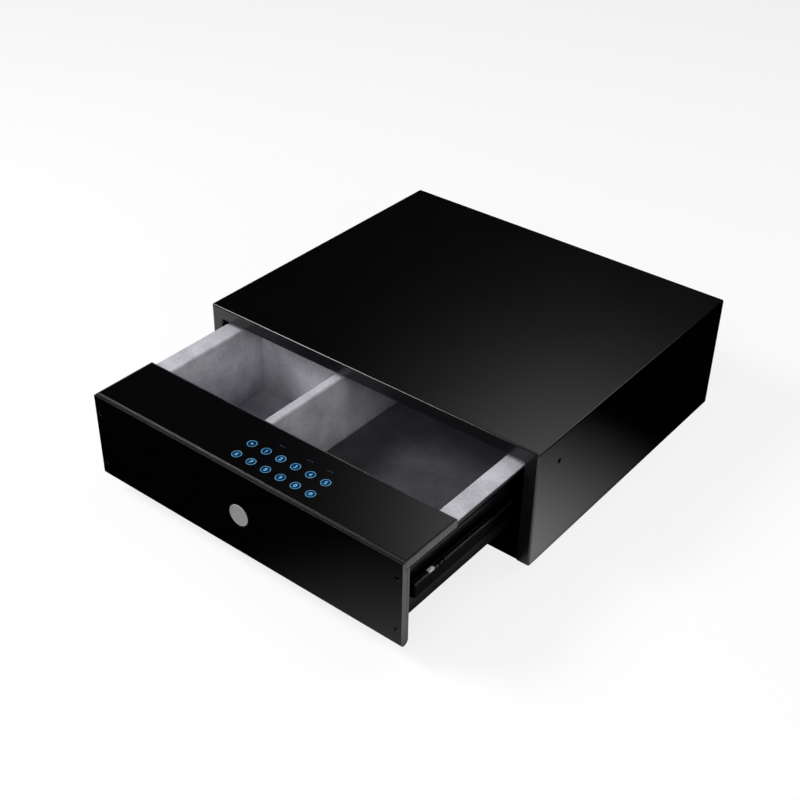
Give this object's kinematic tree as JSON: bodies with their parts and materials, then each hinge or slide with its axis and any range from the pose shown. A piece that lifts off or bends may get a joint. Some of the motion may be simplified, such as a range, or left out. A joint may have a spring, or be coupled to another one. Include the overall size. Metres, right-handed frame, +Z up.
{
  "type": "under desk drawer safe",
  "caption": "Flat black steel safe with one flush drawer on telescopic ball bearing slides, a touch keypad on the drawer's lid and felt-lined compartments.",
  "frame": {"origin": "middle of the cabinet's underside", "axes": "+X to the right seen from the front, +Y from the front into the cabinet, +Z up"},
  "size_m": [0.44, 0.5682, 0.141],
  "materials": {
    "cabinet_paint": "satin black powder coat",
    "gloss_front": "gloss black",
    "touch_plate": "gloss black touch plate with blue key rings",
    "black_zinc": "black zinc plated",
    "bright_steel": "bright zinc plated",
    "grey_disc": "satin grey",
    "white_nylon": "moulded nylon",
    "black_plastic": "moulded, fine texture",
    "circuit_board": "green solder mask",
    "cell_jacket": "plain shrink sleeve",
    "pale_felt": "pale grey felt",
    "dark_felt": "grey felt"
  },
  "bodies": {
    "cabinet": {"cabinet_wrap": "cabinet_paint", "bottom_plate": "cabinet_paint", "back_plate": "cabinet_paint", "slide_bracket_left": "cabinet_paint", "slide_bracket_right": "cabinet_paint", "outer_member_left": "black_zinc", "outer_member_right": "black_zinc", "outer_screw_left_front": "bright_steel", "outer_screw_left_rear": "bright_steel", "outer_screw_right_front": "bright_steel", "outer_screw_right_rear": "bright_steel", "latch_body": "black_plastic"},
    "latch_plunger": {"latch_plunger": "white_nylon"},
    "middle_right": {"middle_member_right": "black_zinc", "middle_stop_right": "white_nylon"},
    "middle_left": {"middle_member_left": "black_zinc", "middle_stop_left": "white_nylon"},
    "outer_cage_right": {"outer_cage_right": "bright_steel"},
    "outer_cage_left": {"outer_cage_left": "bright_steel"},
    "inner_cage_right": {"inner_cage_right": "bright_steel"},
    "inner_cage_left": {"inner_cage_left": "bright_steel"},
    "drawer": {"drawer_member_left": "black_zinc", "drawer_member_right": "black_zinc", "drawer_screw_left_front": "bright_steel", "drawer_screw_left_rear": "bright_steel", "drawer_screw_right_front": "bright_steel", "drawer_screw_right_rear": "bright_steel", "drawer_tray": "cabinet_paint", "bay_wall": "cabinet_paint", "panel_carrier": "cabinet_paint", "front_panel": "gloss_front", "front_disc": "grey_disc", "panel_screw_left_low": "black_zinc", "panel_screw_right_low": "black_zinc", "panel_screw_left_high": "black_zinc", "panel_screw_right_high": "black_zinc", "bay_lid": "cabinet_paint", "touch_glass": "touch_plate", "keypad_board": "circuit_board", "control_board": "circuit_board", "battery_box": "black_plastic", "battery_cell_1": "cell_jacket", "battery_cell_2": "cell_jacket", "battery_cell_3": "cell_jacket", "battery_cell_4": "cell_jacket", "lock_frame": "bright_steel", "lock_motor": "bright_steel", "side_liner_left": "pale_felt", "side_liner_right": "pale_felt", "floor_liner": "pale_felt", "back_liner": "pale_felt", "long_divider": "pale_felt", "cross_divider": "pale_felt", "floor_pad": "dark_felt"},
    "battery_cover": {"battery_cover": "black_plastic"},
    "lock_bolt": {"lock_bolt": "bright_steel"},
    "lock_pinion": {"lock_pinion": "white_nylon"}
  },
  "joints": [
    {"name": "slide_stage_1", "type": "slide", "parent": "cabinet", "child": "middle_right", "axis": [0, -1, 0], "range_m": [-0.1662, 0.0088]},
    {"name": "slide_stage_2", "type": "slide", "parent": "middle_right", "child": "drawer", "axis": [0, -1, 0], "range_m": [-0.0216, 0.1534]},
    {"name": "left_middle_slide", "type": "slide", "parent": "cabinet", "child": "middle_left", "axis": [0, -1, 0], "range_m": [-0.1662, 0.0088]},
    {"name": "right_outer_cage_roll", "type": "slide", "parent": "cabinet", "child": "outer_cage_right", "axis": [0, -1, 0], "range_m": [-0.0831, 0.0044]},
    {"name": "left_outer_cage_roll", "type": "slide", "parent": "cabinet", "child": "outer_cage_left", "axis": [0, -1, 0], "range_m": [-0.0831, 0.0044]},
    {"name": "right_inner_cage_roll", "type": "slide", "parent": "middle_right", "child": "inner_cage_right", "axis": [0, -1, 0], "range_m": [-0.0108, 0.0767]},
    {"name": "left_inner_cage_roll", "type": "slide", "parent": "middle_left", "child": "inner_cage_left", "axis": [0, -1, 0], "range_m": [-0.0108, 0.0767]},
    {"name": "bolt_drop", "type": "slide", "parent": "drawer", "child": "lock_bolt", "axis": [0, 0, -1], "range_m": [0, 0.012]},
    {"name": "pinion_turn", "type": "hinge", "parent": "drawer", "child": "lock_pinion", "pos_m": [0.04285, -0.3044, 0.0478], "axis": [0, 1, 0], "range_deg": [-95.6, 0]},
    {"name": "cover_slide", "type": "slide", "parent": "drawer", "child": "battery_cover", "axis": [1, 0, 0], "range_m": [0, 0.06]},
    {"name": "plunger_push", "type": "slide", "parent": "cabinet", "child": "latch_plunger", "axis": [0, 1, 0], "range_m": [0, 0.004], "stiffness_N_per_m": 800}
  ],
  "couplings": [
    {"joint": "left_middle_slide", "follows": "slide_stage_1", "ratio": 1},
    {"joint": "right_outer_cage_roll", "follows": "slide_stage_1", "ratio": 0.5},
    {"joint": "left_outer_cage_roll", "follows": "slide_stage_1", "ratio": 0.5},
    {"joint": "right_inner_cage_roll", "follows": "slide_stage_2", "ratio": 0.5},
    {"joint": "left_inner_cage_roll", "follows": "slide_stage_2", "ratio": 0.5},
    {"joint": "pinion_turn", "follows": "bolt_drop", "rad_per_m": -138.89}
  ]
}
